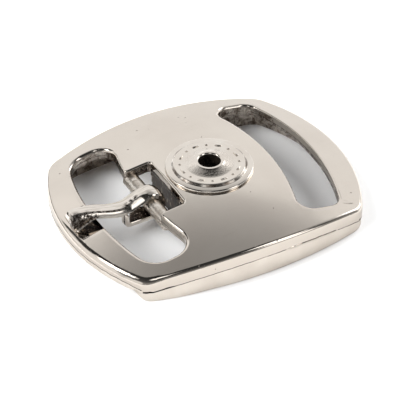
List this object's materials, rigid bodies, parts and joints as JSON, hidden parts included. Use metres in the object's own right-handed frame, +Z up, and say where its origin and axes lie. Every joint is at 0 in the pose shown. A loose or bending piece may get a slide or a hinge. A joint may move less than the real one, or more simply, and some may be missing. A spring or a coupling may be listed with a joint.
{
  "type": "shoe buckle",
  "caption": "Domed barrel-shaped metal shoe buckle with a curved strap slot, a prong hinged on a bar in a notched opening, and a round pierced press cap.",
  "frame": {"origin": "middle of the flat underside that the buckle lies on, at the centre of its outline", "axes": "+X along the strap from the prong end to the strap slot, +Y across the strap, +Z up through the domed face"},
  "size_m": [0.043, 0.035, 0.0078],
  "materials": {
    "nickel_plated_casting": "bright warm nickel plate over a polished zinc casting, with a few small pits",
    "nickel_plated_strip": "bright nickel plate over bent steel, rough and stained at the neck and the tip",
    "nickel_plated_stamping": "bright nickel plate over stamped brass"
  },
  "bodies": {
    "buckle": {"frame": "nickel_plated_casting", "press_cap": "nickel_plated_stamping"},
    "prong": {"prong": "nickel_plated_strip"}
  },
  "joints": [
    {"name": "prong_hinge", "type": "hinge", "parent": "buckle", "child": "prong", "pos_m": [-0.0087, 0, 0.0041], "axis": [0, 1, 0], "range_deg": [0, 120]}
  ]
}
